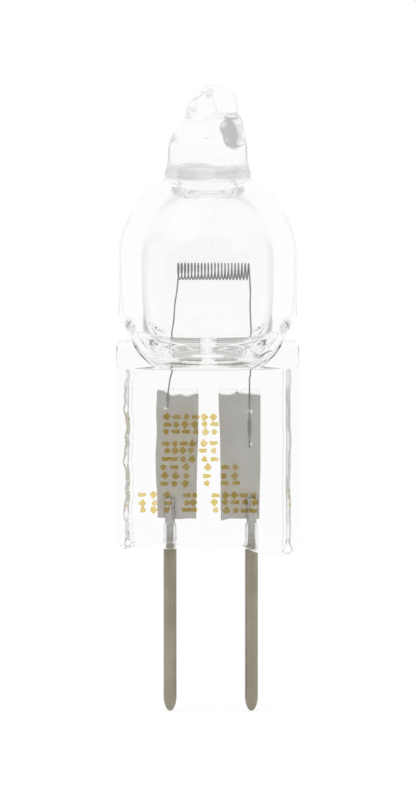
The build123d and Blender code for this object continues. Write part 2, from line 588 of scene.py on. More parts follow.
# Molybdenum drawn to a pin and dulled by the press's heat gives the eye a warm grey with bright edges,
# and stays clean where the glass keeps the air off it. Real die lines are about 0.01 mm wide, and are
# drawn 0.04 mm wide to show.
DRAWN_PIN = WorkedMetal(
    name="drawn_molybdenum_pin",
    light="#A19C8C",
    dark="#938D7D",
    roughness=0.18,
    line_width=0.04,
    line_length=1.6,
    line_depth=0.002,
    cloud_size=1.5,
    sealed="#BCBAB5",
)
# Metal that melted in the weld and set again gives the eye a small bright bead with no clear grain.
# Real ripples on it are about 0.01 mm wide, and are drawn 0.05 mm wide to show.
FUSED_SPOT = WorkedMetal(
    name="fused_weld_metal",
    light="#F0EFEB",
    dark="#DEDCD6",
    roughness=0.16,
    line_width=0.05,
    line_length=0.1,
    line_depth=0.004,
    cloud_size=0.2,
)


@dataclass(frozen=True)
class FoilEdges:
    """Where one foil's ragged edges lie, and the gaps that the glass left above it.

    Sides are height and X, ends are X and height, and gaps are their lowest and highest X.
    """

    left: Outline
    right: Outline
    foot: Outline
    lip: Outline
    gaps: Sequence[tuple[float, float]]


FOIL_EDGES = {
    Side.LEFT: FoilEdges(
        left=(
            (1.5, -2.61), (2.56, -2.63), (3.68, -2.69), (4.8, -2.71), (5.9, -2.65), (7.1, -2.68),
            (7.6, -2.64),
        ),
        right=((1.5, -0.72), (2.56, -0.7), (3.68, -0.68), (4.8, -0.65), (5.9, -0.61), (7.9, -0.6)),
        foot=((-2.71, 1.6), (-2.1, 1.56), (-1.6, 1.52), (-1.0, 1.55), (-0.6, 1.52)),
        lip=(
            (-2.7, 7.46), (-2.62, 7.86), (-2.35, 7.84), (-2.2, 7.74), (-1.9, 7.58), (-1.5, 7.63),
            (-1.2, 7.55), (-0.8, 7.66), (-0.6, 7.7),
        ),
        gaps=((-2.3, -0.62),),
    ),
    Side.RIGHT: FoilEdges(
        left=((1.5, 0.5), (2.6, 0.48), (3.7, 0.48), (4.8, 0.47), (5.9, 0.45), (7.0, 0.4), (7.9, 0.38)),
        right=((1.5, 2.38), (3.1, 2.41), (4.2, 2.44), (7.9, 2.44)),
        foot=((0.36, 1.42), (0.6, 1.46), (0.95, 1.54), (1.7, 1.54), (2.44, 1.52)),
        lip=(
            (0.38, 7.72), (0.55, 7.64), (0.87, 7.61), (1.15, 7.68), (1.32, 7.8), (1.42, 7.72),
            (1.8, 7.66), (2.44, 7.62),
        ),
        gaps=((0.4, 1.3), (1.42, 2.42)),
    ),
}


@dataclass
class SealFoil:
    """One sealing foil: a rolled ribbon with feathered, slightly ragged edges."""

    side: Side
    low: Sequence[float]
    high: Sequence[float]
    feather: float = 0.3
    edge_share: float = 0.35
    buckle: float = 0.012
    buckle_rates: tuple[float, float] = (1.1, 1.3)
    buckle_phase: float = 1.7
    across: int = 65
    along: int = 150

    @property
    def name(self) -> str:
        """The CAD node that this foil stands for."""
        return f"foil_{self.side.name.lower()}"

    @property
    def plane_y(self) -> float:
        """Y of the foil's middle."""
        return (self.low[1] + self.high[1]) / 2

    def build(self, material: bpy.types.Material) -> bpy.types.Object:
        """Makes the foil as rings round its thin section, closed at both ends.

        Args:
            material: The metal.

        Returns:
            The finished piece.
        """
        edges = FOIL_EDGES[self.side]
        thick = (self.high[1] - self.low[1]) / 2
        rate_x, rate_z = self.buckle_rates
        phase = self.buckle_phase * self.side.value
        share = np.linspace(0, 1, self.across)
        z = np.linspace(0, 1, self.along)[:, None]
        height = self.low[2] + z * (self.high[2] - self.low[2])
        left, right = curve_through(edges.left, height), curve_through(edges.right, height)
        x = left + share * (right - left)
        foot, lip = curve_through(edges.foot, x), curve_through(edges.lip, x)
        level = foot + z * (lip - foot)
        near_edge = np.clip(np.minimum(share, 1 - share) * (right - left) / self.feather, 0, 1)
        body = thick * (self.edge_share + (1 - self.edge_share) * near_edge)
        middle = self.plane_y + self.buckle * np.sin(rate_z * level + phase) * np.cos(rate_x * x + phase)
        front = np.stack([x, middle - body, level], axis=-1)
        back = np.stack([x, middle + body, level], axis=-1)[:, ::-1]
        rings = np.concatenate([front, back], axis=1)
        flat = rings.copy()
        flat[..., 1] = np.concatenate([middle, middle[:, ::-1]], axis=1)
        draft = MeshDraft()
        draft.add_rings(np.concatenate([flat[:1], rings, flat[-1:]]))
        item = draft.piece(f"sealing_{self.name}", material)
        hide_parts(self.name)
        return item


@dataclass
class QuartzEnvelope:
    """The clear envelope: pressed pinch with side beads, round bulb, exhaust neck and melted-off tip.

    The outer skin is where a depth field is zero, found along rays that leave a short spine in the
    flat pinch and the axis in the round bulb. X is measured from the glass's own axis.
    """

    axis_x: float
    half_width: float
    bulb_radius: float
    tip_height: float
    # Pressed pinch: flat faces, side beads with their waves, foot, corners and ears.
    panel_face: float = 1.22
    panel_edge_round: float = 0.2
    bead_reach: float = 1.5
    bead_half_width: float = 0.31
    bead_blend: float = 0.26
    left_waves: Sequence[Wave] = ((0.05, 2.3, 0.4), (0.03, 5.1, 1.0), (0.03, 9.7, 0.0))
    right_waves: Sequence[Wave] = ((0.02, 1.7, 2.0), (0.012, 4.3, 0.0))
    foot_round: float = 0.2
    corner_round: float = 0.55
    pinch_top: float = 8.98
    ear_face: float = 1.45
    ear_round: float = 0.12
    shoulder_top: float = 10.3
    shoulder_round: float = 0.28
    # Round wall drawn in to the pinch: flanks by X and height, then height with blend and with depth.
    draw_in_blend: float = 0.16
    flank_low: tuple[float, float] = (2.6, 9.08)
    flank_high: tuple[float, float] = (4.375, 11.12)
    flank_blend: Outline = ((9.0, 1.1), (10.2, 0.9), (10.9, 0.35), (11.4, 0.3))
    draw_in_deep: Outline = (
        (8.7, 1.0), (8.98, 1.6), (9.08, 2.4), (9.2, 2.95), (9.35, 3.4), (9.55, 3.8), (9.77, 4.1),
        (10.0, 4.28), (10.25, 4.37), (10.4, 4.375),
    )
    dome_centre: float = 14.38
    neck_radius: float = 2.1
    neck_bottom: float = 17.4
    neck_blend: float = 0.14
    # Rays and rings of the outer skin.
    spine_half: float = 3.5
    spine_fade: tuple[float, float] = (9.1, 11.6)
    end_share: float = 0.45
    columns: int = 264
    coarse_step: float = 0.13
    fine_step: float = 0.03
    step_growth: float = 0.12
    foot_share: float = 0.1
    foot_rows: int = 6
    tip_share: float = 0.2
    tip_shares: Sequence[float] = (0.6, 0.3, 0.0)
    halvings: int = 34
    # Outlines of the neck and tip: height, with X at the sides and Y at the front and back.
    tip_left: Outline = (
        (18.2, -1.93), (19.6, -1.93), (20.12, -1.87), (20.76, -1.45), (21.2, -1.15), (21.84, -1.0),
        (22.1, -0.9), (22.2, -0.66), (22.45, -0.45), (22.8, 0.1),
    )
    tip_right: Outline = (
        (18.2, 1.93), (19.88, 1.92), (20.6, 1.79), (21.6, 1.64), (22.1, 1.55), (22.48, 1.45),
        (22.8, 1.2),
    )
    tip_front: Outline = (
        (18.2, -1.93), (19.75, -1.92), (20.3, -1.85), (21.0, -1.6), (21.3, -1.5), (21.45, -1.0),
        (22.1, -0.95), (22.5, -0.8), (22.8, -0.4),
    )
    tip_back: Outline = (
        (18.2, 1.93), (19.8, 1.92), (20.5, 1.75), (21.2, 1.4), (22.1, 1.15), (22.5, 0.95), (22.8, 0.5),
    )
    # Wavy foot by X and height.
    foot_wave: Outline = (
        (-4.4, 0.05), (-3.0, 0.3), (-1.9, 0.4), (0.0, -0.05), (1.45, 0.3), (2.5, -0.1), (3.6, -0.22),
        (4.4, -0.1),
    )
    foot_wave_height: float = 1.4
    # Sealed hollow and exhaust channel by radius and height.
    hollow_radius: float = 3.225
    hollow_columns: int = 112
    floor_rows: int = 90
    dome_rows: int = 48
    channel_rows: int = 40
    hollow_floor: Outline = (
        (0.0, 9.85), (1.5, 9.87), (1.95, 9.9), (2.3, 9.97), (2.6, 10.1), (2.84, 10.35), (2.98, 10.7),
        (3.07, 11.2), (3.13, 11.8), (3.18, 12.5), (3.21, 13.4), (3.225, 14.38),
    )
    channel: Outline = (
        (1.45, 17.2606), (1.39, 17.36), (1.36, 17.6), (1.36, 18.45), (1.35, 18.66), (1.31, 18.73),
        (1.24, 18.72), (1.05, 18.62), (0.75, 18.51), (0.4, 18.45), (0.0, 18.43),
    )
    # Thick ring round the neck by height and radius.
    collar: Outline = (
        (17.4, 2.1), (18.42, 2.1), (18.45, 2.09), (18.55, 2.05), (18.7, 2.01), (18.9, 1.98),
        (19.2, 1.963), (19.82, 1.962),
    )
    collar_sag: float = 0.13
    # Melted tip: a mound, a stub and a lobe, with lumps that run across, through and up.
    mound_top: float = 21.35
    mound_round: float = 0.3
    stub_centre: tuple[float, float] = (0.6, 0.05)
    stub_half: tuple[float, float] = (0.88, 0.85)
    stub_round: float = 0.35
    stub_fall: float = 0.45
    lobe_centre: tuple[float, float] = (-0.3, -0.12)
    lobe_half: tuple[float, float] = (0.62, 1.2)
    lobe_spread: float = 0.25
    lobe_shoulder: float = 22.1
    lobe_top: float = 22.42
    lobe_rise: float = 0.6
    lobe_round: float = 0.22
    tip_blend: float = 0.18
    tip_lumps: float = 0.06
    lump_fade: tuple[float, float] = (19.6, 20.4)
    lump_rates: tuple[float, float, float] = (2.9, 2.3, 3.7)
    lump_skews: tuple[float, float, float] = (1.1, 0.6, 0.8)
    # Folds melted into the tip by middle, reach and turn, and the lumps that wind up them.
    folds: Sequence[tuple[Sequence[float], Sequence[float], float]] = (
        ((0.87, -0.25, 20.42), (0.92, 0.05, 0.8), 59.0),
        ((-1.5, -0.2, 20.17), (0.2, 0.03, 0.1), -61.0),
        ((-0.21, -0.9, 20.16), (0.19, 0.03, 0.03), 10.0),
    )
    fold_lumps: Sequence[Wave] = ((0.08, 2.0, 3.0), (0.05, 3.0, -5.0))
    fold_bow: float = 0.02
    fold_rows: int = 28
    fold_columns: int = 40
    # Gaps above the foils by inset and depth, and capillaries round the pins by radius and height.
    gap_top: float = 7.93
    gap_floor: float = 0.02
    gap_bend: float = 0.45
    gap_columns: int = 96
    gap_section: Outline = (
        (0.2, -0.05), (0.06, -0.05), (0.02, -0.035), (0.0, 0.0), (0.02, 0.035), (0.06, 0.05),
        (0.2, 0.05),
    )
    capillary: Outline = (
        (0.0, 0.05), (0.335, 0.05), (0.345, 0.1), (0.35, 0.5), (0.345, 1.0), (0.3, 1.35), (0.0, 1.4),
    )
    capillary_rows: int = 40
    capillary_columns: int = 48

    def bead_width(self, x: Grid, z: Grid) -> Grid:
        """Half width of a side bead, which wanders with height, more on the left."""
        wander = np.where(x < 0, waves(self.left_waves, z), waves(self.right_waves, z))
        return self.bead_half_width + wander / 2

    def pinch_depth(self, x: Grid, y: Grid, z: Grid) -> Grid:
        """Depth field of the pressed pinch.

        Args:
            x: X from the glass's axis.
            y: Y of each place.
            z: Height of each place.

        Returns:
            The depth, below zero inside the glass.
        """
        half = self.bead_width(x, z)
        beside = np.abs(np.abs(x) - (self.half_width - half))
        along = np.maximum(np.abs(y) - (self.bead_reach - half), 0)
        bead = rounded_cut(np.hypot(beside, along) - half, z - self.shoulder_top, self.shoulder_round)
        flat_x = np.abs(x) - (self.half_width - self.panel_edge_round)
        panel = rounded_cut(flat_x, np.abs(y) - self.panel_face, self.panel_edge_round)
        panel = np.maximum(panel, z - self.pinch_top - self.ear_round)
        ear = rounded_cut(flat_x, np.abs(y) - self.ear_face, self.ear_round)
        ear = rounded_cut(ear, self.pinch_top - z, self.ear_round)
        ear = rounded_cut(ear, z - self.shoulder_top, self.shoulder_round)
        pressed = smooth_union(smooth_union(bead, panel, self.bead_blend), ear, self.ear_round)
        corner = rounded_cut(np.abs(x) - self.half_width, -z, self.corner_round)
        return np.maximum(rounded_cut(pressed, -z, self.foot_round), corner)

    def body_depth(self, x: Grid, y: Grid, z: Grid) -> Grid:
        """Depth field of the round wall, drawn in to the pinch below and domed above.

        Args:
            x: X from the glass's axis.
            y: Y of each place.
            z: Height of each place.

        Returns:
            The depth, below zero inside the glass.
        """
        above = np.maximum(z - self.dome_centre, 0)
        ring = np.sqrt(np.maximum(self.bulb_radius**2 - above**2, LEAST_SQUARE))
        deep = np.minimum(curve_through(self.draw_in_deep, z), ring)
        wall = (np.hypot(x / ring, y / deep) - 1) * deep
        run, rise = (high - low for low, high in zip(self.flank_low, self.flank_high))
        past_x, past_z = np.abs(x) - self.flank_low[0], z - self.flank_low[1]
        flank = (rise * past_x - run * past_z) / math.hypot(run, rise)
        blend = curve_through(self.flank_blend, z)
        drawn_in = -smooth_union(-wall, -flank, blend)
        return rounded_cut(drawn_in, self.pinch_top - z, self.ear_round)

    def lean(self, z: Grid) -> Grid:
        """How far the neck and tip stand to the side of the axis."""
        return (curve_through(self.tip_left, z) + curve_through(self.tip_right, z)) / 2

    def neck_depth(self, x: Grid, y: Grid, z: Grid) -> Grid:
        """Depth field of the neck and its melted tip.

        Args:
            x: X from the glass's axis.
            y: Y of each place.
            z: Height of each place.

        Returns:
            The depth, below zero inside the glass.
        """
        wide = (curve_through(self.tip_right, z) - curve_through(self.tip_left, z)) / 2
        deep = (curve_through(self.tip_back, z) - curve_through(self.tip_front, z)) / 2
        middle = (curve_through(self.tip_back, z) + curve_through(self.tip_front, z)) / 2
        level = np.hypot((x - self.lean(z)) / wide, (y - middle) / deep)
        mound = rounded_cut((level - 1) * np.minimum(wide, deep), z - self.mound_top, self.mound_round)
        stub_x, stub_y = self.stub_half
        level = np.hypot((x - self.stub_centre[0]) / stub_x, (y - self.stub_centre[1]) / stub_y)
        slope = self.tip_height - self.stub_fall * np.maximum(x - self.stub_centre[0], 0)
        stub = rounded_cut((level - 1) * stub_y, z - slope, self.stub_round)
        widening = self.lobe_spread * np.maximum(self.lobe_shoulder - z, 0)
        lobe_x, lobe_y = (half + widening for half in self.lobe_half)
        level = np.hypot((x - self.lobe_centre[0]) / lobe_x, (y - self.lobe_centre[1]) / lobe_y)
        slope = self.lobe_top + self.lobe_rise * (x - self.lobe_centre[0])
        lobe = rounded_cut((level - 1) * lobe_x, z - slope, self.lobe_round)
        tip = smooth_union(smooth_union(stub, lobe, self.tip_blend), mound, self.tip_blend)
        rates, skews = self.lump_rates, self.lump_skews
        lumps = np.sin(rates[0] * x + skews[0] * z) * np.sin(rates[1] * y + skews[1])
        lumps = lumps * np.sin(rates[2] * z + skews[2] * x)
        tip = tip + self.tip_lumps * smooth_step(*self.lump_fade, z) * lumps
        sagged = z - self.collar_sag * (x / self.neck_radius) ** 2
        tube = np.hypot(x, y) - curve_through(self.collar, sagged)
        tube = np.maximum(tube, z - self.collar[-1][0])
        return np.maximum(np.minimum(tip, tube), self.neck_bottom - z)

    def depth(self, x: Grid, y: Grid, z: Grid) -> Grid:
        """Depth field of the whole outer form.

        Args:
            x: X from the glass's axis.
            y: Y of each place.
            z: Height of each place.

        Returns:
            The depth, below zero inside the glass.
        """
        pinch, body = self.pinch_depth(x, y, z), self.body_depth(x, y, z)
        lower = smooth_union(pinch, body, self.draw_in_blend)
        return smooth_union(lower, self.neck_depth(x, y, z), self.neck_blend)

    def levels(self) -> Grid:
        """Spaces the outer skin's rings, close together where the form turns sharply.

        Returns:
            The rings' heights, one to a row.
        """
        neck_foot = self.dome_centre + math.sqrt(self.bulb_radius**2 - self.neck_radius**2)
        corners = [0.0, self.pinch_top, self.shoulder_top, neck_foot]
        turns = np.array([*corners, self.mound_top, self.lobe_top, self.tip_height])
        heights = [self.foot_share * self.fine_step]
        while heights[-1] < self.tip_height - self.fine_step:
            near = np.min(np.abs(turns - heights[-1]))
            heights.append(heights[-1] + min(self.coarse_step, self.fine_step + self.step_growth * near))
        heights[-1] = self.tip_height - self.tip_share * self.fine_step
        return np.array(heights)[:, None]

    def solve(self, start_x: Grid, toward_x: Grid, toward_y: Grid, z: Grid) -> tuple[Grid, Grid]:
        """Finds where level rays leave the glass.

        Args:
            start_x: Where each ray starts, at Y zero.
            toward_x: X of each ray's direction.
            toward_y: Y of each ray's direction.
            z: Height of each ray.

        Returns:
            X and Y of the points on the outer skin.
        """
        near = np.zeros(np.broadcast(start_x, toward_x, z).shape)
        far = near + 2 * self.bulb_radius
        for _ in range(self.halvings):
            middle = (near + far) / 2
            inside = self.depth(start_x + middle * toward_x, middle * toward_y, z) < 0
            near, far = np.where(inside, middle, near), np.where(inside, far, middle)
        return start_x + near * toward_x, near * toward_y

    def front_face(self, x: float, z: float) -> float:
        """Finds the glass's front at a place on the pinch.

        Args:
            x: X in the frame.
            z: Height of the place.

        Returns:
            Y of the front.
        """
        start = np.array([x - self.axis_x])
        height = np.array([z])
        return float(self.solve(start, np.zeros(1), -np.ones(1), height)[1][0])

    def outer_rings(self) -> Grid:
        """Rings of the outer skin, closed at the foot and at the tip.

        Returns:
            The rings, from the lowest to the highest.
        """
        z = self.levels()
        angle = round_angles(self.columns, 0.5)
        quarter = np.arctan2(np.abs(np.sin(angle)), np.abs(np.cos(angle)))
        share = quarter / (math.pi / 2)
        flatness = 1 - smooth_step(*self.spine_fade, z)
        turned = np.minimum(share / self.end_share, 1) * math.pi / 2
        spread = np.clip((1 - share) / (1 - self.end_share), 0, 1)
        heading = (1 - flatness) * quarter + flatness * turned
        way_x, way_y = np.sign(np.cos(angle)), np.sign(np.sin(angle))
        start_x = self.lean(z) + way_x * flatness * self.spine_half * spread
        x, y = self.solve(start_x, way_x * np.cos(heading), way_y * np.sin(heading), z)
        wave = self.foot_level(x) * (1 - smooth_step(0, self.foot_wave_height, z))
        skin = np.stack([x + self.axis_x, y, z + wave], axis=-1)
        foot_spine = np.stack([start_x[0] + self.axis_x, 0 * y[0], self.foot_level(start_x[0])], axis=-1)
        tip_centre = np.array([self.lean(z[-1])[0] + self.axis_x, 0, self.tip_height])
        foot_shares = np.linspace(0, 1, self.foot_rows)[:-1]
        foot = [foot_spine + (skin[0] - foot_spine) * part for part in foot_shares]
        tip = [tip_centre + (skin[-1] - tip_centre) * part for part in self.tip_shares]
        return np.concatenate([np.stack(foot), skin, np.stack(tip)])

    def fold_rings(self, centre: Sequence[float], reach: Sequence[float], degrees: float) -> Grid:
        """Rings of a lumpy fold, closed into the tip when it was melted off.

        Args:
            centre: X, Y and Z of its middle.
            reach: How far it goes along, through and up.
            degrees: How far it is turned about Z.

        Returns:
            The rings, from the lowest to the highest.
        """
        rise = np.linspace(-math.pi / 2, math.pi / 2, self.fold_rows)[:, None]
        angle = round_angles(self.fold_columns)
        parts = [(size, rate, skew * rise) for size, rate, skew in self.fold_lumps]
        along = reach[0] * np.cos(rise) * np.cos(angle) * waves(parts, angle, 1.0)
        bulge = reach[1] * np.cos(rise) * np.sin(angle)
        bow = self.fold_bow * (along / reach[0]) ** 2
        turn = math.radians(degrees)
        x = along * math.cos(turn) - (bulge + bow) * math.sin(turn)
        y = along * math.sin(turn) + (bulge + bow) * math.cos(turn)
        z = reach[2] * np.sin(rise) + 0 * angle
        return np.stack([x, y, z], axis=-1) + np.array(centre)

    def gap_rings(self, edges: FoilEdges, start: float, end: float, middle_y: float) -> Grid:
        """Rings of a thin gap that the pressed glass left above a foil.

        Args:
            edges: The foil's edges.
            start: Lowest X of the gap.
            end: Highest X of the gap.
            middle_y: Y of the foil.

        Returns:
            The rings, from the front to the back.
        """
        across, up = bent_round(round_angles(self.gap_columns), self.gap_bend)
        rings = []
        for inset, depth in self.gap_section:
            half_x = (end - start) / 2 - inset
            x = (start + end) / 2 + across * half_x
            floor = curve_through(edges.lip, x) + self.gap_floor
            half_z = np.maximum((self.gap_top - floor) / 2 - inset, 0)
            z = (self.gap_top + floor) / 2 + up * half_z
            rings.append(np.stack([x, middle_y + depth + 0 * x, z], axis=1))
        return np.stack(rings)

    def foot_level(self, x: Grid) -> Grid:
        """Height of the pinch's wavy foot."""
        return curve_through(self.foot_wave, x)

    def hollow_outline(self) -> Grid:
        """Outline of the sealed hollow, from its floor to the end of the channel.

        Returns:
            Rows of radius and height.
        """
        floor = line_through(self.hollow_floor, self.floor_rows)
        mouth = math.acos(self.channel[0][0] / self.hollow_radius)
        turn = np.linspace(0, mouth, self.dome_rows)[1:-1]
        dome = np.stack([np.cos(turn), np.sin(turn)], axis=1) * self.hollow_radius
        dome[:, 1] += self.dome_centre
        return np.concatenate([floor, dome, line_through(self.channel, self.channel_rows)])

    def build(
        self,
        pin_places: Sequence[tuple[float, float]],
        foils: Sequence[SealFoil],
        material: bpy.types.Material,
    ) -> bpy.types.Object:
        """Makes the envelope with its hollow, the capillaries round the pins and the gaps above the foils.

        Args:
            pin_places: X and Y of the pins.
            foils: The sealed foils.
            material: The glass.

        Returns:
            The finished piece.
        """
        draft = MeshDraft()
        draft.add_rings(self.outer_rings())
        draft.add_lathe((self.axis_x, 0), self.hollow_outline(), self.hollow_columns, inward=True)
        capillary = line_through(self.capillary, self.capillary_rows)
        for place in pin_places:
            draft.add_lathe(place, capillary, self.capillary_columns, inward=True)
        for foil in foils:
            edges = FOIL_EDGES[foil.side]
            for start, end in edges.gaps:
                draft.add_rings(self.gap_rings(edges, start, end, foil.plane_y), inward=True)
        for fold in self.folds:
            draft.add_rings(self.fold_rings(*fold), inward=True)
        item = draft.piece("clear_envelope", material)
        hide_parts("quartz_envelope")
        return item


@dataclass
class ContactPin:
    """One contact pin: drawn wire with a bullet nose, slimmed where it is sealed and welded."""

    side: Side
    axis_x: float
    nose_end: float
    root_end: float
    radius: float = 0.325
    nose_length: float = 0.75
    root_radius: float = 0.25
    root_taper: float = 0.6
    end_round: float = 0.08
    nose_rows: int = 18
    shank_rows: int = 12
    root_rows: int = 6
    columns: int = 48

    @property
    def name(self) -> str:
        """The CAD node that this pin stands for."""
        return f"pin_{self.side.name.lower()}"

    def outline(self) -> Grid:
        """Outline of the pin, from the nose up.

        Returns:
            Rows of radius and height.
        """
        turn = np.linspace(0, math.pi / 2, self.nose_rows)
        nose_top = self.nose_end + self.nose_length
        nose = np.stack([self.radius * np.sin(turn), nose_top - self.nose_length * np.cos(turn)], axis=1)
        shank = [(self.radius, height) for height in np.linspace(nose_top, 0, self.shank_rows)[1:]]
        root_levels = np.linspace(self.root_taper, self.root_end - self.end_round, self.root_rows)
        root = [(self.root_radius, height) for height in root_levels]
        end = [(self.root_radius - self.end_round, self.root_end), (0, self.root_end)]
        return np.concatenate([nose, shank, root, end])

    def build(self, material: bpy.types.Material) -> bpy.types.Object:
        """Makes the pin and lets it stand for its CAD node.

        Args:
            material: The metal.

        Returns:
            The finished piece.
        """
        draft = MeshDraft()
        draft.add_lathe((self.axis_x, 0), self.outline(), self.columns)
        item = draft.piece(f"contact_{self.name}", material)
        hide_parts(self.name)
        return item


@dataclass
class WeldSpots:
    """Small fused spots that hold the filament's feet to the foils."""

    face_y: float
    # X, height and radius of each spot.
    spots: Sequence[tuple[float, float, float]] = (
        (-2.21, 6.96, 0.1), (1.93, 6.82, 0.14), (1.94, 5.22, 0.11),
    )
    rise: float = 0.07
    # Height and rate of the waves round a spot, and how far its place moves them on.
    edge_waves: Sequence[Wave] = ((0.12, 2.0, 9.0), (0.08, 3.0, 5.0))
    rows: int = 12
    columns: int = 40

    def build(self, material: bpy.types.Material) -> bpy.types.Object:
        """Makes the spots as low domes on the foils.

        Args:
            material: The metal.

        Returns:
            The finished piece.
        """
        angle = round_angles(self.columns)
        turn = np.linspace(0, math.pi / 2, self.rows)
        draft = MeshDraft()
        for x, z, radius in self.spots:
            parts = [(size, rate, skew * at) for (size, rate, skew), at in zip(self.edge_waves, (x, z))]
            lump = radius * waves(parts, angle, 1.0)
            outline = np.stack([x + lump * np.sin(angle), z + lump * np.cos(angle)], axis=1)
            dome = [(math.sin(t), self.face_y - self.rise * math.cos(t)) for t in turn]
            draft.add_button((x, z), outline, [*dome, (0.0, self.face_y)])
        return draft.piece("foot_weld_spots", material)


@dataclass
class Filament:
    """The tungsten wire: a close coil along X, with one leg down to each foil."""

    wire_radius: float = 0.037
    coil_radius: float = 0.403
    coil_pitch: float = 0.165
    coil_turns: float = 21.5
    coil_middle: tuple[float, float, float] = (0.126, 0.0, 13.66)
    coil_yaw: float = -6.0
    turn_steps: int = 36
    wire_sides: int = 10
    leg_steps: int = 70
    on_foil_y: float = 0.2
    # How far the top of each leg has come from the coil's end to the foil, point by point.
    leg_shares: Sequence[float] = (0.0, 0.3, 0.65)
    # X and height down each leg, and the heights between which its foot is pressed flat.
    left_leg: Outline = (
        (-1.69, 12.7), (-1.79, 12.0), (-1.85, 11.1), (-1.97, 10.1), (-1.88, 9.0), (-1.9, 8.75),
        (-1.99, 8.45), (-2.01, 8.3), (-2.07, 7.9), (-2.1, 7.6), (-2.1, 7.05),
    )
    right_leg: Outline = (
        (1.9, 12.7), (1.91, 12.0), (1.97, 11.1), (2.06, 10.1), (1.95, 8.9), (1.94, 8.6), (1.9, 8.4),
        (1.9, 7.6), (1.9, 5.05),
    )
    left_flat: tuple[float, float] = (7.25, 7.75)
    right_flat: tuple[float, float] = (5.6, 6.5)
    flat_fade: float = 0.12
    flat_spread: float = 1.1
    flat_press: float = 0.5

    def coil(self) -> Grid:
        """Winds the coil, from its left end, at the back, to its right end.

        Returns:
            Points along the coil.
        """
        yaw = math.radians(self.coil_yaw)
        ahead = np.array([math.cos(yaw), math.sin(yaw), 0])
        back = np.array([-math.sin(yaw), math.cos(yaw), 0])
        up = np.array([0, 0, 1])
        turn = np.linspace(0, self.coil_turns, round(self.coil_turns * self.turn_steps) + 1)[:, None]
        angle = 2 * math.pi * turn
        shift = (turn - self.coil_turns / 2) * self.coil_pitch
        ring = self.coil_radius * (np.cos(angle) * back + np.sin(angle) * up)
        return np.array(self.coil_middle) + shift * ahead + ring

    def leg(self, start: Grid, outline: Outline) -> Grid:
        """Draws one leg, from the coil's end to the foot on the foil.

        Args:
            start: The coil's end.
            outline: X and height down the leg.

        Returns:
            Points down the leg.
        """
        depths = [start[1] + share * (self.on_foil_y - start[1]) for share in self.leg_shares]
        depths += [self.on_foil_y] * (len(outline) - len(depths))
        spots = [(x, depth, z) for (x, z), depth in zip(outline, depths)]
        return line_through([tuple(start), *spots], self.leg_steps)[1:]

    def route(self) -> Grid:
        """Joins the coil and its legs, from the left foot to the right foot.

        Returns:
            Points along the whole wire.
        """
        coil = self.coil()
        left = self.leg(coil[0], self.left_leg)[::-1]
        right = self.leg(coil[-1], self.right_leg)
        return np.concatenate([left, coil, right])

    def flatness(self, path: Grid) -> Grid:
        """Says where the wire is pressed flat on its foil.

        Args:
            path: Points along the wire.

        Returns:
            One where the wire is flat, and zero along the rest.
        """
        low, high = np.where(path[:, :1] < 0, self.left_flat, self.right_flat).T
        z, fade = path[:, 2], self.flat_fade
        return np.clip((z - low) / fade, 0, 1) * np.clip((high - z) / fade, 0, 1)

    def build(self, material: bpy.types.Material) -> bpy.types.Object:
        """Sweeps the round wire along its route.

        Args:
            material: The metal.

        Returns:
            The finished piece.
        """
        path = self.route()
        tangent = np.gradient(path, axis=0)
        tangent /= np.linalg.norm(tangent, axis=1)[:, None]
        normal = np.cross(tangent[0], (0.0, 1.0, 0.0))
        normals = []
        for heading in tangent:
            normal = normal - heading * np.dot(normal, heading)
            normal = normal / np.linalg.norm(normal)
            normals.append(normal)
        across = np.array(normals)
        other = np.cross(tangent, across)
        angle = round_angles(self.wire_sides)
        path = np.concatenate([path[:1], path, path[-1:]])
        radius = np.concatenate([[0.0], np.full(len(across), self.wire_radius), [0.0]])
        across = np.concatenate([across[:1], across, across[-1:]])
        other = np.concatenate([other[:1], other, other[-1:]])
        ring = np.cos(angle)[:, None] * across[:, None] + np.sin(angle)[:, None] * other[:, None]
        offset = radius[:, None, None] * ring
        flat = self.flatness(path)[:, None]
        offset[..., 0] *= 1 + self.flat_spread * flat
        offset[..., 1] *= 1 - self.flat_press * flat
        draft = MeshDraft()
        draft.add_rings(path[:, None] + offset)
        item = draft.piece("coiled_filament", material)
        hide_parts("filament")
        return item


# The three marks in each cell, from the top down.
MARK_STACKS = (
    (Mark.DIAMOND, Mark.DASH, Mark.DOT),
    (Mark.DASH, Mark.DOT, Mark.DASH),
    (Mark.DOT, Mark.DIAMOND, Mark.DASH),
    (Mark.DASH, Mark.DIAMOND, Mark.DOT),
    (Mark.DIAMOND, Mark.DOT, Mark.DIAMOND),
)


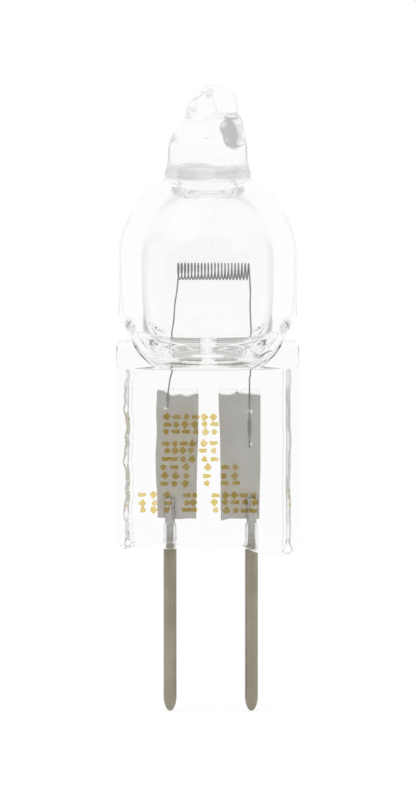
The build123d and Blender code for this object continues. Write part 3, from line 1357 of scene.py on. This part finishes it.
@dataclass
class StampedRows:
    """Four rows of plain marks, stamped on the flat front of the pinch."""

    # Height of each row, with the lowest and highest X of its groups.
    rows: Sequence[tuple[float, Sequence[tuple[float, float]]]] = (
        (6.23, ((-2.38, 0.4),)),
        (4.93, ((-2.38, -0.72), (-0.6, 0.4))),
        (3.73, ((-2.55, -0.95), (-0.42, 0.05), (0.42, 1.45))),
        (2.4, ((-3.55, -3.15), (-2.95, -2.6), (-2.4, -1.85), (-1.35, -0.65), (0.1, 0.32), (0.5, 2.35))),
    )
    row_step: float = 0.38
    cell: float = 0.46
    film: float = 0.008
    clearance: float = 0.004
    # Height and rate of the waves round a mark, and how far its phase moves them on.
    edge_waves: Sequence[Wave] = ((0.1, 3.0, 1.0), (0.07, 5.0, -2.0))
    phase_step: float = 2.4
    jitter: tuple[float, float] = (0.04, 0.03)
    jitter_rate: float = 1.7
    columns: int = 28

    def places(self) -> list[tuple[Mark, float, float]]:
        """Shares the marks out over the rows, three to a cell.

        Returns:
            Each mark, with X and Z of its middle.
        """
        marks = []
        stacks = cycle(MARK_STACKS)
        levels = (self.row_step, 0.0, -self.row_step)
        for row_z, groups in self.rows:
            for start, end in groups:
                cells = max(1, round((end - start) / self.cell))
                for cell in range(cells):
                    x = start + (cell + 0.5) * (end - start) / cells
                    marks += [(mark, x, row_z + level) for level, mark in zip(levels, next(stacks))]
        return marks

    def outline(self, mark: Mark, x: float, z: float, phase: float) -> Grid:
        """Points round one mark, a little uneven as a rubber stamp leaves it.

        Args:
            mark: The mark's shape.
            x: X of its middle.
            z: Z of its middle.
            phase: Makes each mark's edge differ.

        Returns:
            X and Z of the points, from the top round by the right.
        """
        half_x, half_z, bend = mark.value
        angle = round_angles(self.columns)
        uneven = waves([(size, rate, skew * phase) for size, rate, skew in self.edge_waves], angle, 1.0)
        across, up = bent_round(angle, bend)
        return np.stack([x + half_x * uneven * across, z + half_z * uneven * up], axis=1)

    def build(self, envelope: QuartzEnvelope, material: bpy.types.Material) -> bpy.types.Object:
        """Lays the marks as a thin film just off the glass.

        Args:
            envelope: The glass that carries them.
            material: The ink.

        Returns:
            The finished piece.
        """
        draft = MeshDraft()
        for count, (mark, cell_x, cell_z) in enumerate(self.places()):
            phase = self.phase_step * count
            x = cell_x + self.jitter[0] * math.sin(phase)
            z = cell_z + self.jitter[1] * math.sin(self.jitter_rate * phase)
            back = envelope.front_face(x, z) - self.clearance
            front = back - self.film
            film = ((0.0, front), (1.0, front), (1.0, back), (0.0, back))
            draft.add_button((x, z), self.outline(mark, x, z, phase), film)
        return draft.piece("amber_stamp_rows", material)


@dataclass
class Studio:
    """White floor and surround, soft lamps and the camera.

    Rays to the camera see plain white. Gloss and glass see a surround that dims above, behind the
    camera and, for light that went through glass, in a strip at each side, which draws its edges.
    """

    floor_level: float
    aim: tuple[float, float, float] = (-0.135, 0.0, 7.51)
    camera_distance: float = 300.0
    camera_elevation: float = 3.0
    picture_height: float = 38.97
    sensor: float = 36.0
    clip_near: float = 0.1
    clip_far: float = 10.0
    white: str = "#FFFFFF"
    floor_size: float = 3000.0
    floor_white: str = "#A0A0A0"
    floor_glow: float = 0.72
    # Levels of the surround, and where each starts and ends along the ray's direction.
    front_level: float = 0.75
    front_reach: tuple[float, float] = (-0.2, 0.7)
    side_level: float = 0.52
    side_reach: tuple[float, float] = (0.84, 0.915)
    side_end: tuple[float, float] = (0.955, 0.985)
    top_level: float = 0.8
    top_reach: tuple[float, float] = (0.45, 0.8)
    # Levels of the floor, and where each starts and ends in millimetres from the bulb.
    sheet_front: tuple[float, float] = (-140.0, -40.0)
    sheet_end: float = 0.62
    sheet_side: tuple[float, float] = (20.0, 50.0)
    sheet_edge: float = 0.3
    near_shade: float = 0.92
    far_shade: float = 0.96
    shade_reach: tuple[float, float] = (15.0, 70.0)
    plain_level: float = 0.8
    # Name, degrees to the right of the camera, degrees up and share of power of each lamp.
    lamps: Sequence[tuple[str, float, float, float]] = (
        ("lamp_left", -50.0, 50.0, 1.0),
        ("lamp_right", 60.0, 40.0, 0.6),
    )
    lamp_size: float = 700.0
    lamp_distance: float = 700.0
    lamp_power: float = 0.5
    light_bounces: int = 32

    def seen_directly(self, tree: bpy.types.NodeTree) -> bpy.types.NodeSocket:
        """Marks the rays that show the backdrop: to the camera, in gloss and through glass.

        Args:
            tree: The tree that asks.

        Returns:
            One for such a ray, and zero for others.
        """
        path = add_node(tree, "ShaderNodeLightPath")
        first = add_node(
            tree,
            "ShaderNodeMath",
            {0: path.outputs["Is Camera Ray"], 1: path.outputs["Is Glossy Ray"]},
            operation="MAXIMUM",
        )
        both = add_node(
            tree,
            "ShaderNodeMath",
            {0: first.outputs[0], 1: path.outputs["Is Transmission Ray"]},
            operation="MAXIMUM",
        )
        return both.outputs[0]

    def set_world(self) -> None:
        """Sets the surround: white behind, dimmer above and behind the camera, with a strip at each side."""
        world = bpy.data.worlds.new("white_surround")
        world.use_nodes = True
        tree = world.node_tree
        tree.nodes.clear()
        place = add_node(tree, "ShaderNodeTexCoord")
        split = add_node(tree, "ShaderNodeSeparateXYZ", {"Vector": place.outputs["Generated"]})
        front = add_node(
            tree,
            "ShaderNodeMapRange",
            {"Value": split.outputs["Y"], **between(self.front_reach), "To Min": self.front_level},
            interpolation_type="SMOOTHSTEP",
        )
        top = add_node(
            tree,
            "ShaderNodeMapRange",
            {
                "Value": split.outputs["Z"],
                **between(self.top_reach),
                "To Min": front.outputs["Result"],
                "To Max": self.top_level,
            },
            interpolation_type="SMOOTHSTEP",
        )
        path = add_node(tree, "ShaderNodeLightPath")
        aside = add_node(tree, "ShaderNodeMath", {0: split.outputs["X"]}, operation="ABSOLUTE")
        in_glass = add_node(
            tree,
            "ShaderNodeMath",
            {0: aside.outputs[0], 1: path.outputs["Is Transmission Ray"]},
            operation="MULTIPLY",
        )
        strip = add_node(
            tree,
            "ShaderNodeMapRange",
            {"Value": in_glass.outputs[0], **between(self.side_end), "To Min": self.side_level},
            interpolation_type="SMOOTHSTEP",
        )
        level = add_node(
            tree,
            "ShaderNodeMapRange",
            {
                "Value": in_glass.outputs[0],
                **between(self.side_reach),
                "To Min": top.outputs["Result"],
                "To Max": strip.outputs["Result"],
            },
            interpolation_type="SMOOTHSTEP",
        )
        clear = add_node(
            tree,
            "ShaderNodeMath",
            {0: path.outputs["Is Camera Ray"], 1: level.outputs["Result"]},
            operation="MAXIMUM",
        )
        strength = add_node(
            tree,
            "ShaderNodeMix",
            {"Factor": self.seen_directly(tree), "A": self.plain_level, "B": clear.outputs[0]},
            data_type="FLOAT",
        )
        back = add_node(
            tree,
            "ShaderNodeBackground",
            {"Color": linear(self.white), "Strength": strength.outputs["Result"]},
        )
        add_node(tree, "ShaderNodeOutputWorld", {"Surface": back.outputs["Background"]})
        bpy.context.scene.world = world

    def floor_material(self) -> bpy.types.Material:
        """Builds the floor's matt white card, which glows as the backdrop does, dimmed near the bulb by
        painted shade.

        Returns:
            The material.
        """
        # Matt card scatters light evenly, so the eye gets flat white with a soft shadow by the pins.
        made = new_material("matt_white_card")
        tree = made.node_tree
        matt = add_node(tree, "ShaderNodeBsdfDiffuse", {"Color": linear(self.floor_white)})
        place = add_node(tree, "ShaderNodeTexCoord")
        split = add_node(tree, "ShaderNodeSeparateXYZ", {"Vector": place.outputs["Object"]})
        away = add_node(tree, "ShaderNodeVectorMath", {0: place.outputs["Object"]}, operation="LENGTH")
        # Painted shade: for rays other than the camera's, the floor's glow is dimmed near the bulb, as a
        # soft shade round its foot.
        near = add_node(
            tree,
            "ShaderNodeMapRange",
            {
                "Value": away.outputs["Value"],
                **between(self.shade_reach, MM),
                "To Min": self.near_shade,
                "To Max": self.far_shade,
            },
            interpolation_type="SMOOTHSTEP",
        )
        front = add_node(
            tree,
            "ShaderNodeMapRange",
            {
                "Value": split.outputs["Y"],
                **between(self.sheet_front, MM),
                "To Min": self.sheet_end,
                "To Max": near.outputs["Result"],
            },
            interpolation_type="SMOOTHSTEP",
        )
        turned = add_node(
            tree, "ShaderNodeMath", {0: split.outputs["X"], 1: away.outputs["Value"]}, operation="DIVIDE"
        )
        aside = add_node(tree, "ShaderNodeMath", {0: turned.outputs[0]}, operation="ABSOLUTE")
        path = add_node(tree, "ShaderNodeLightPath")
        strip = add_node(
            tree,
            "ShaderNodeMapRange",
            {
                "Value": aside.outputs[0],
                **between(self.side_end),
                "To Min": path.outputs["Is Transmission Ray"],
                "To Max": 0.0,
            },
            interpolation_type="SMOOTHSTEP",
        )
        past_side = add_node(
            tree,
            "ShaderNodeMapRange",
            {
                "Value": aside.outputs[0],
                **between(self.side_reach),
                "To Max": strip.outputs["Result"],
            },
            interpolation_type="SMOOTHSTEP",
        )
        far_off = add_node(
            tree,
            "ShaderNodeMapRange",
            {"Value": away.outputs["Value"], **between(self.sheet_side, MM)},
            interpolation_type="SMOOTHSTEP",
        )
        beyond = add_node(
            tree,
            "ShaderNodeMath",
            {0: past_side.outputs["Result"], 1: far_off.outputs["Result"]},
            operation="MULTIPLY",
        )
        share = add_node(
            tree,
            "ShaderNodeMix",
            {"Factor": beyond.outputs[0], "A": front.outputs["Result"], "B": self.sheet_edge},
            data_type="FLOAT",
        )
        clear = add_node(
            tree,
            "ShaderNodeMath",
            {0: path.outputs["Is Camera Ray"], 1: share.outputs["Result"]},
            operation="MAXIMUM",
        )
        shown = add_node(
            tree, "ShaderNodeMath", {0: self.seen_directly(tree), 1: clear.outputs[0]}, operation="MULTIPLY"
        )
        level = add_node(
            tree, "ShaderNodeMath", {0: shown.outputs[0], 1: self.floor_glow}, operation="MULTIPLY"
        )
        glow = add_node(
            tree, "ShaderNodeEmission", {"Color": linear(self.white), "Strength": level.outputs[0]}
        )
        both = add_node(tree, "ShaderNodeAddShader", {0: matt.outputs[0], 1: glow.outputs[0]})
        add_node(tree, "ShaderNodeOutputMaterial", {"Surface": both.outputs[0]})
        return made

    def add_floor(self) -> None:
        """Lays the floor under the pins' points."""
        half = self.floor_size * MM / 2
        level = self.floor_level * MM
        mesh = bpy.data.meshes.new("floor")
        corners = [(-half, -half, level), (half, -half, level), (half, half, level), (-half, half, level)]
        mesh.from_pydata(corners, [], [(0, 1, 2, 3)])
        mesh.materials.append(self.floor_material())
        floor = bpy.data.objects.new("floor", mesh)
        bpy.context.scene.collection.objects.link(floor)
        floor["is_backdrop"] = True

    def add_lamp(self, name: str, azimuth: float, elevation: float, share: float) -> None:
        """Hangs one soft lamp.

        Args:
            name: The lamp's name.
            azimuth: Degrees to the right of the camera.
            elevation: Degrees above the floor.
            share: Its part of the lamps' power.
        """
        lamp = bpy.data.lights.new(name, "AREA")
        lamp.size = self.lamp_size * MM
        lamp.energy = self.lamp_power * share
        item = bpy.data.objects.new(name, lamp)
        turn, rise = math.radians(azimuth), math.radians(elevation)
        away = Vector((math.sin(turn) * math.cos(rise), -math.cos(turn) * math.cos(rise), math.sin(rise)))
        item.location = Vector(self.aim) * MM + away * self.lamp_distance * MM
        item.rotation_euler = away.to_track_quat("Z", "Y").to_euler()
        bpy.context.scene.collection.objects.link(item)

    def add_camera(self) -> None:
        """Sets the camera level with the bulb, a long way off."""
        data = bpy.data.cameras.new("camera")
        data.sensor_width = self.sensor
        data.lens = self.sensor * self.camera_distance / self.picture_height
        data.clip_start = self.clip_near * self.camera_distance * MM
        data.clip_end = self.clip_far * self.floor_size * MM
        camera = bpy.data.objects.new("camera", data)
        rise = math.radians(self.camera_elevation)
        back = Vector((0, -math.cos(rise), math.sin(rise)))
        camera.location = (Vector(self.aim) + back * self.camera_distance) * MM
        camera.rotation_euler = back.to_track_quat("Z", "Y").to_euler()
        bpy.context.scene.collection.objects.link(camera)
        bpy.context.scene.camera = camera

    def build(self) -> None:
        """Sets up the surround, the floor, the lamps and the camera."""
        self.set_world()
        self.add_floor()
        for lamp in self.lamps:
            self.add_lamp(*lamp)
        self.add_camera()
        scene = bpy.context.scene
        scene.view_settings.view_transform = "Standard"
        scene.cycles.max_bounces = self.light_bounces
        scene.cycles.transmission_bounces = self.light_bounces
        scene.cycles.glossy_bounces = self.light_bounces


def box_mm(node: str) -> tuple[Vector, Vector]:
    """Lowest and highest corner of a CAD node, in millimetres."""
    low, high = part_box(node)
    return low / MM, high / MM


def main() -> None:
    """Loads the frame, builds every piece on it and sets the scene."""
    logging.basicConfig(level=logging.INFO, format="%(name)s %(message)s")
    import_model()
    cad_box = [list(corner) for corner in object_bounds()]

    pins = []
    foils = []
    for side in Side:
        low, high = box_mm(f"pin_{side.name.lower()}")
        pins.append(ContactPin(side, (low.x + high.x) / 2, low.z, high.z))
        foils.append(SealFoil(side, *box_mm(f"foil_{side.name.lower()}")))
    pin_metal = DRAWN_PIN.material()
    foil_metal = ROLLED_FOIL.material()
    for pin in pins:
        pin.build(pin_metal)
    for foil in foils:
        foil.build(foil_metal)
    Filament().build(DRAWN_TUNGSTEN.material())
    WeldSpots(foils[0].low[1]).build(FUSED_SPOT.material())

    low, high = box_mm("quartz_envelope")
    envelope = QuartzEnvelope((low.x + high.x) / 2, (high.x - low.x) / 2, (high.y - low.y) / 2, high.z)
    envelope.build([(pin.axis_x, 0.0) for pin in pins], foils, FusedQuartz().material())
    StampedRows().build(envelope, StampedInk().material())

    Studio(floor_level=cad_box[0][2] / MM).build()


if __name__ == "__main__":
    main()
